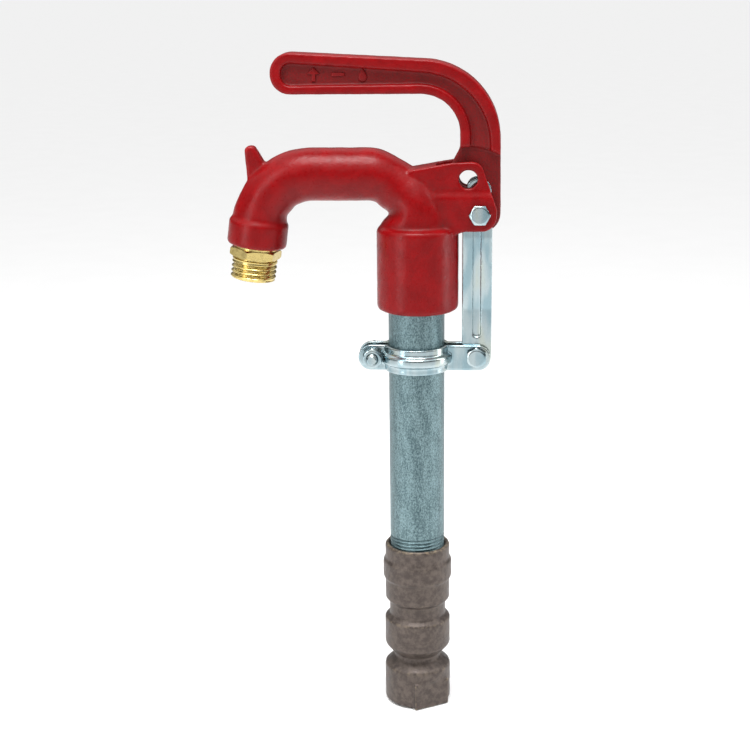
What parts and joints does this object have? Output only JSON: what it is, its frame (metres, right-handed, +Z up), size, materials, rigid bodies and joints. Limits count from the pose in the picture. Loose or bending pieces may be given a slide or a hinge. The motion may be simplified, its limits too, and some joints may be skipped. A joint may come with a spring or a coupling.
{
  "type": "frost-free yard hydrant",
  "caption": "Frost-free yard hydrant: a lever and two side links slide a curved iron spout up a standpipe and lift a plunger off its seat in a bronze valve body.",
  "frame": {"origin": "on the standpipe's axis at the inlet face of the valve body", "axes": "+Z up along the standpipe, -X towards the spout, +X towards the lever's pivot, lever shut with its grip level"},
  "size_m": [0.1611, 0.0482, 0.4033],
  "materials": {
    "red_enamel": "glossy red enamel on rough cast iron",
    "galvanised_steel": "hot-dip galvanised, finely crinkled",
    "zinc_plate": "bright bluish zinc plating",
    "bronze": "sand-cast bronze with brown-grey patina",
    "brass": "bright machined brass",
    "seal_rubber": "black moulded rubber",
    "steel": "plain turned steel"
  },
  "bodies": {
    "standpipe_body": {"standpipe": "galvanised_steel", "valve_body": "bronze", "valve_seat": "brass", "clamp_front": "zinc_plate", "clamp_rear": "zinc_plate", "clamp_bolts": "zinc_plate", "clamp_nuts": "zinc_plate", "clamp_lock_washers": "zinc_plate"},
    "head": {"head_casting": "red_enamel", "packing_rings": "seal_rubber", "packing_washer": "brass", "packing_snap_ring": "steel", "hose_adapter": "brass", "pivot_bolt": "zinc_plate", "pivot_lock_washer": "zinc_plate", "pivot_nut": "zinc_plate", "lift_rod": "steel", "rod_lock_nut": "steel", "plunger": "brass", "plunger_seals": "seal_rubber", "seat_disc": "seal_rubber", "disc_screw": "steel"},
    "lever": {"lever_handle": "red_enamel", "link_pin": "steel"},
    "links": {"link_front": "zinc_plate", "link_rear": "zinc_plate"}
  },
  "joints": [
    {"name": "head_slide", "type": "slide", "parent": "standpipe_body", "child": "head", "axis": [0, 0, 1], "range_m": [0, 0.0096]},
    {"name": "handle_pivot", "type": "hinge", "parent": "head", "child": "lever", "pos_m": [0.0371, 0, 0.3115], "axis": [0, 1, 0], "range_deg": [0, 90]},
    {"name": "link_swing", "type": "hinge", "parent": "standpipe_body", "child": "links", "pos_m": [0.0358, 0, 0.2251], "axis": [0, 1, 0], "range_deg": [0, 7.9]}
  ],
  "couplings": [
    {"joint": "head_slide", "follows": "handle_pivot", "m_per_rad": 0.0061},
    {"joint": "link_swing", "follows": "handle_pivot", "ratio": 0.0875}
  ]
}
